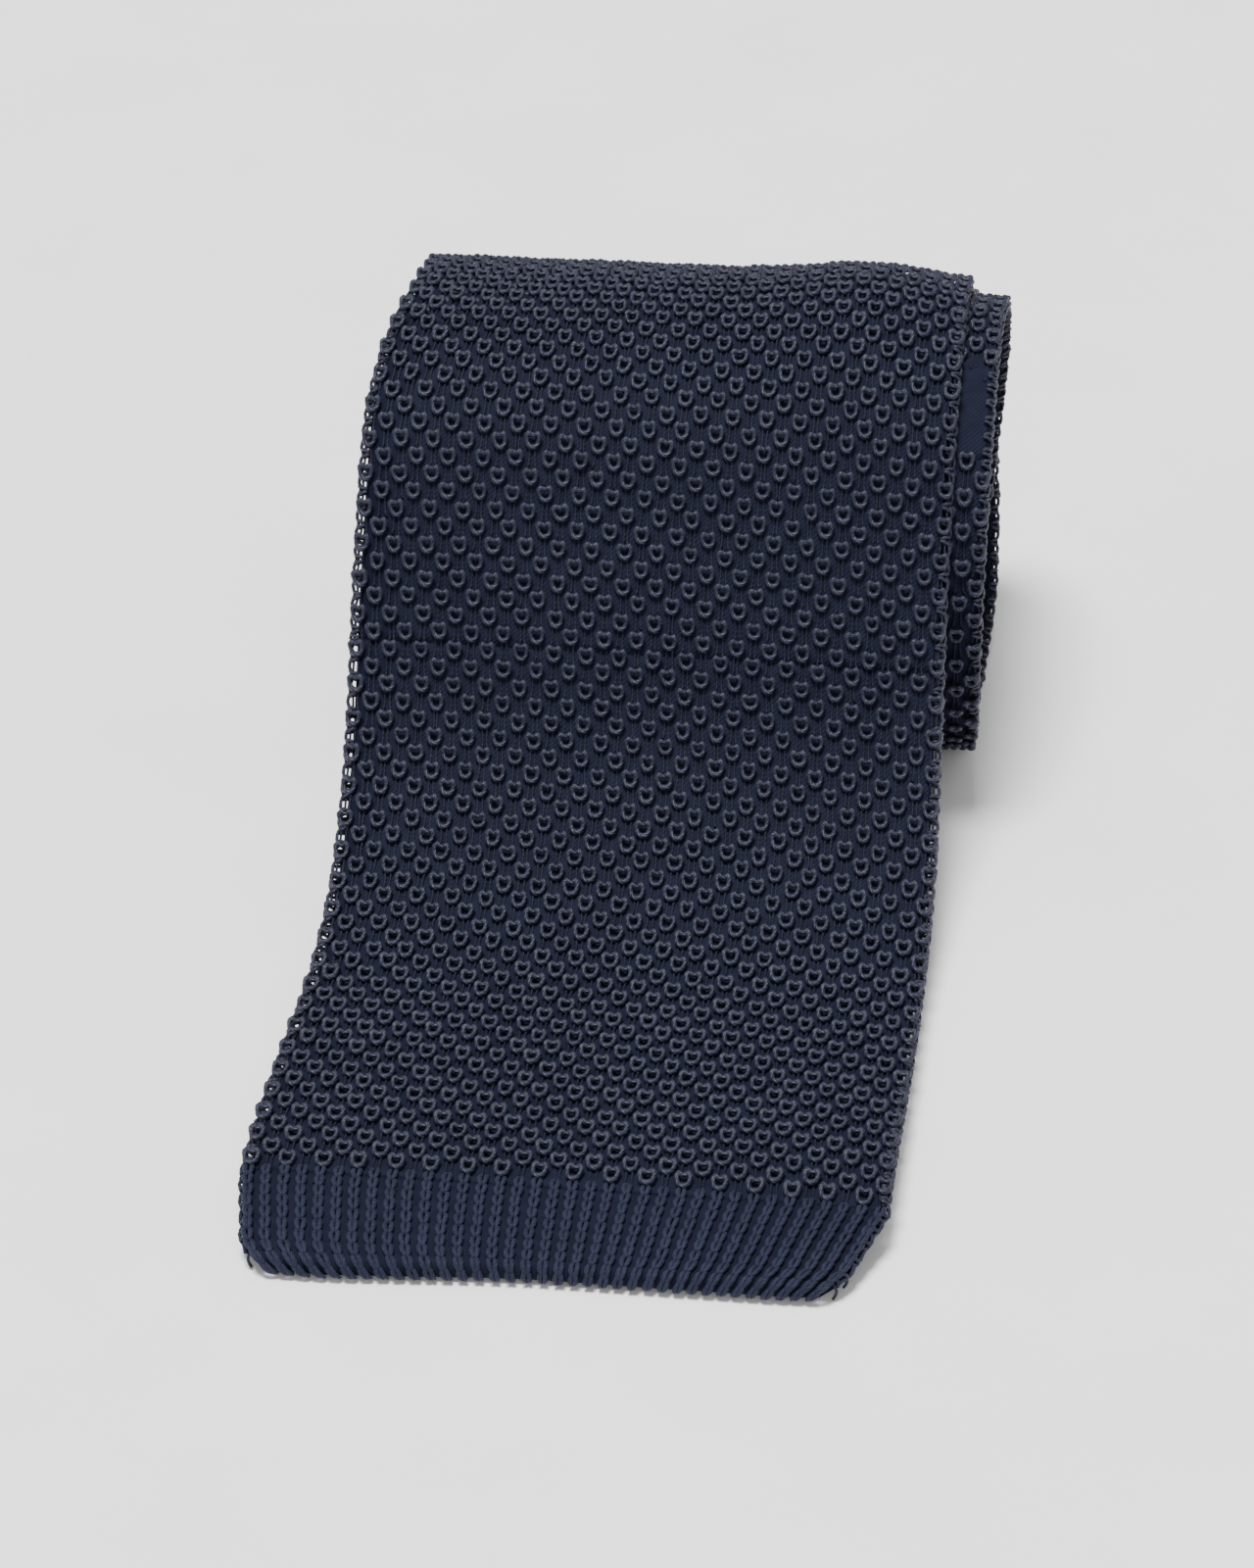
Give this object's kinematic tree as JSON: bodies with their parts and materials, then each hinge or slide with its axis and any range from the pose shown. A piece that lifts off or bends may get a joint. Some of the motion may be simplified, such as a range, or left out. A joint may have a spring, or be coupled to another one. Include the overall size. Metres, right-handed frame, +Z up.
{
  "type": "necktie",
  "caption": "Rolled knitted necktie with square plain-knit hems; its wide end drapes off the roll and its free end, foot and hem can be lifted.",
  "frame": {"origin": "on the table, under the middle of the whole rolled tie", "axes": "+X across the blade to its right edge as seen from the hem, +Y from the hem to the back of the roll, +Z up"},
  "size_m": [0.0662, 0.1352, 0.0517],
  "materials": {
    "knit": "navy silk knit, open texture, low sheen",
    "plain_knit": "navy silk plain knit, fine ribs, low sheen",
    "thread": "navy twisted thread",
    "satin": "black satin ribbon",
    "white_tape": "white woven tape"
  },
  "bodies": {
    "roll": {"outer_turn_shell": "knit", "outer_turn_seam": "thread", "keeper_loop": "satin", "keeper_tack_left": "thread", "keeper_tack_right": "thread", "blank_label": "satin", "care_tag": "white_tape", "second_turn_shell": "knit", "second_turn_seam": "thread", "inner_blade_shell": "knit", "inner_blade_seam": "thread", "neck_shell": "knit", "neck_seam": "thread", "neck_stay_tape": "white_tape", "tail_shell": "knit", "tail_seam": "thread", "tail_bar_tack": "thread", "tail_hem_face": "plain_knit", "tail_hem_facing": "plain_knit", "tail_hem_back": "plain_knit", "tail_hem_stitch_left": "thread", "tail_hem_stitch_right": "thread"},
    "front_panel": {"front_panel_shell": "knit", "front_panel_seam": "thread"},
    "blade_end": {"blade_end_shell": "knit", "blade_end_seam": "thread", "blade_bar_tack": "thread"},
    "hem": {"hem_face": "plain_knit", "hem_facing": "plain_knit", "hem_back": "plain_knit", "hem_stitch_left": "thread", "hem_stitch_right": "thread"}
  },
  "joints": [
    {"name": "peel_off_roll", "type": "hinge", "parent": "roll", "child": "front_panel", "pos_m": [0, 0.02329, 0.04433], "axis": [-1, 0, 0], "range_deg": [0, 70]},
    {"name": "lift_at_foot", "type": "hinge", "parent": "front_panel", "child": "blade_end", "pos_m": [0, -0.00779, 0.0099], "axis": [-1, 0, 0], "range_deg": [0, 60]},
    {"name": "curl_of_hem", "type": "hinge", "parent": "blade_end", "child": "hem", "pos_m": [0, -0.05722, 0.005], "axis": [-1, 0, 0], "range_deg": [0, 50]}
  ]
}
